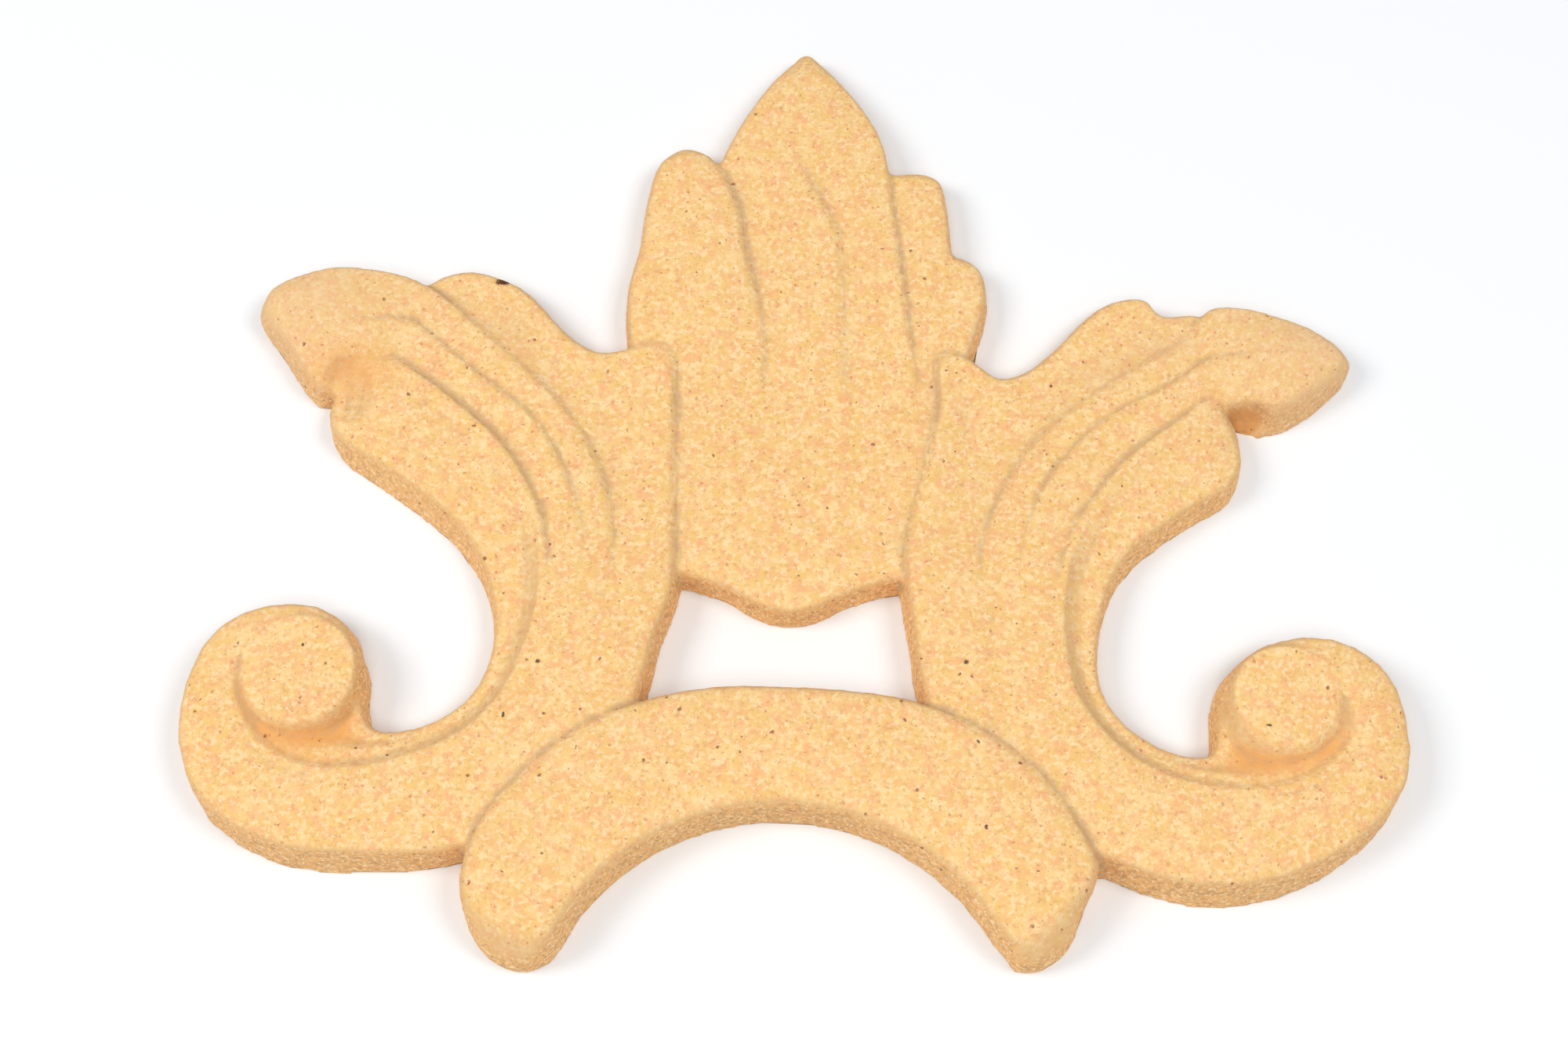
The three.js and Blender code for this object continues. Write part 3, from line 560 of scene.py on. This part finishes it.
# Painted shade patches: middle, half sizes, colour and strength of each.
shade_patches = [
    ((-50.6, 10.4, 4.8), (5.8, 3.6, 4.0), pocket_shade_orange, 1.0),
    ((50.6, 9.6, 2.6), (4.4, 2.0, 3.2), recess_shade_brown, 0.7),
    ((48.2, 9.2, 2.4), (1.5, 1.6, 2.6), corner_shade_brown, 0.7),
    ((-50.6, -33.0, 4.8), (5.8, 2.6, 3.0), pocket_shade_orange, 0.7),
    ((-46.4, -30.4, 4.2), (1.7, 4.4, 3.0), pocket_shade_orange, 0.6),
    ((51.2, -32.2, 4.8), (5.8, 2.2, 3.0), pocket_shade_orange, 0.4),
    ((45.9, -27.4, 3.0), (1.2, 4.2, 3.4), recess_shade_brown, 0.4),
    ((-31.5, -47.4, 2.0), (2.0, 1.6, 2.6), corner_shade_brown, 0.8),
    ((31.6, -48.2, 2.0), (2.0, 1.6, 2.6), corner_shade_brown, 0.8),
    ((-33.4, 16.6, 5.0), (3.6, 3.4, 4.0), dip_shade_tan, 0.7),
    ((34.5, 13.6, 5.0), (4.4, 3.0, 4.0), dip_shade_tan, 0.7),
    ((40.5, 17.0, 5.0), (4.4, 2.6, 4.0), dip_shade_tan, 0.7),
]
patch_breakup = stretched(noise(1300.0, 4.0, 0.7), 0.25, 0.5)
# Painted shade: each patch darkens a recess, pocket, corner or dip where shade falls.
for middle, half_sizes, patch_shade_colour, strength in shade_patches:
    shade_patch = product(single_mark(middle, half_sizes, soft_core), patch_breakup)
    colour = mixed(colour, patch_shade_colour, stretched(shade_patch, 0.0, 1.0, strength))
print("stains:", len(shade_patches))

# %% [markdown]
# ## Flecks and bark on the finish
# Three layers of the fleck group are laid over the colours: fine pale red ones, brown ones, and rare
# dark ones. The largest bits of bark and the nick on the left crest come last, each at its own place,
# because the eye would miss them if chance had put them elsewhere.

# %% Fleck layers
def fleck_layer(cells_per_metre, size, share_of_cells, strength):
    """One layer of flecks."""
    node = add_node(
        tree, "ShaderNodeGroup", node_tree=flecks,
        inputs={
            "Cells per metre": cells_per_metre, "Size": size, "Share": share_of_cells,
            "Strength": strength,
        },
    )
    join(tree, (place, node.inputs["Place"]))
    return node.outputs["Mask"]


pale_red_fleck = (0.54, 0.22, 0.10)
brown_fleck = (0.27, 0.09, 0.045)
dark_fleck = (0.07, 0.03, 0.02)
colour = mixed(colour, pale_red_fleck, fleck_layer(1150.0, 0.26, 0.85, 0.8))
colour = mixed(colour, brown_fleck, fleck_layer(520.0, 0.155, 0.8, 0.9))
colour = mixed(colour, dark_fleck, fleck_layer(150.0, 0.045, 0.3, 0.95))
print("fleck layers:", len(tree.nodes), "nodes so far")

# %% Bark bits and nick
bark_bits = [
    ((-26.9, -23.8, 5.8), (0.28, 0.28, 0.6)),
    ((-30.1, -29.9, 5.8), (0.18, 0.38, 0.6)),
    ((-42.1, -34.6, 5.6), (0.26, 0.20, 0.6)),
    ((-52.1, -23.1, 6.2), (0.22, 0.20, 0.6)),
    ((18.8, -22.1, 6.0), (0.26, 0.24, 0.6)),
    ((20.1, -31.1, 6.4), (0.24, 0.24, 0.6)),
    ((21.0, -40.3, 6.6), (0.22, 0.40, 0.6)),
    ((50.7, -28.0, 6.3), (0.36, 0.14, 0.6)),
    ((49.0, -29.7, 6.2), (0.34, 0.14, 0.6)),
]
bark_strength = 0.9
for middle, half_sizes in bark_bits:
    bit = single_mark(middle, half_sizes, firm_core)
    colour = mixed(colour, dark_fleck, stretched(bit, 0.0, 1.0, bark_strength))

nick_brown = (0.10, 0.03, 0.015)
colour = mixed(colour, nick_brown, single_mark((-34.9, 22.6, 4.0), (0.85, 0.5, 0.9), firm_core))
join(tree, (colour, shader.inputs["Base Color"]))
print("bits of bark:", len(bark_bits), "and one nick")

# %% [markdown]
# ## Grain
# Between the swells of the surface lies a grain too fine for the mesh, a few hundredths of a
# millimetre deep. Real relief of that size would need millions of triangles, so a bump on fine noise
# gives it, over the true relief of the skin.

# %% Grain
grain = add_node(tree, "ShaderNodeBump", inputs={"Strength": 0.5, "Distance": 0.12 * MM})
join(tree, (noise(2600.0, 4.0, 0.7), grain.inputs["Height"]), (grain.outputs[0], shader.inputs["Normal"]))
print("pulp finish:", len(tree.nodes), "nodes")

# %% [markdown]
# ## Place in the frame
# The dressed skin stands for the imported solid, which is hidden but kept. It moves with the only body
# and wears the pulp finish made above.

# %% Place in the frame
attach(pulp, "root")
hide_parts("applique")
print(pulp.name, "stands for applique")

# %% [markdown]
# ## Paper
# The ornament lies on a sheet of white paper that fills the view. A curved backdrop would do for a
# standing piece, but this one is seen from above, so a plain flat sheet is enough.

# %% Paper
bpy.ops.object.select_all(action="DESELECT")
bpy.ops.mesh.primitive_plane_add(size=4.0, location=(0.0, 0.0, 0.0))
paper = bpy.context.active_object
paper.name = "paper"
paper.data.name = "paper"
white = bpy.data.materials.new("white_paper")
white.use_nodes = True
paper_shader = white.node_tree.nodes["Principled BSDF"]
paper_shader.inputs["Base Color"].default_value = (0.83, 0.835, 0.845, 1.0)
paper_shader.inputs["Roughness"].default_value = 0.9
paper_shader.inputs["Specular IOR Level"].default_value = 0.2
paper.data.materials.append(white)
print("paper laid")

# %% [markdown]
# ## Light
# Soft shade lies left and right of every raised part, but none above or below it. So two broad lamps
# stand at the sides, the left one lower, and a smaller high one near the viewer lights the walls that
# face the lens. The bright surroundings fill the shade with a cool tone. One lamp alone would leave the
# shade on one side only. The picture is a little overexposed, so the bare paper is pure white.

# %% Light
lamp_white = (1.0, 0.98, 0.95)


def soft_lamp(name, place, size, power):
    """Makes a square lamp that looks at the ornament."""
    lamp = bpy.data.lights.new(name, "AREA")
    lamp.shape = "SQUARE"
    lamp.size = size
    lamp.energy = power
    lamp.color = lamp_white
    holder = bpy.data.objects.new(name, lamp)
    bpy.context.scene.collection.objects.link(holder)
    holder.location = place
    holder.rotation_euler = (-Vector(place)).to_track_quat("-Z", "Y").to_euler()
    print(name, round(Vector(place).length, 2), "m from the ornament")


soft_lamp("left_lamp", (-0.62, -0.05, 0.66), 0.36, 3.55)
soft_lamp("right_lamp", (0.50, -0.05, 0.80), 0.36, 3.05)
soft_lamp("high_lamp", (-0.02, -0.30, 0.60), 0.25, 1.2)

# %% Bright surroundings
world = bpy.data.worlds.new("bright_room")
world.use_nodes = True
sky = world.node_tree.nodes["Background"]
sky.inputs["Color"].default_value = (0.85, 0.92, 1.0, 1.0)
sky.inputs["Strength"].default_value = 0.46
bpy.context.scene.world = world

bpy.context.scene.view_settings.view_transform = "Standard"
bpy.context.scene.view_settings.look = "None"
print("surroundings at", round(sky.inputs["Strength"].default_value, 2), "of full white")
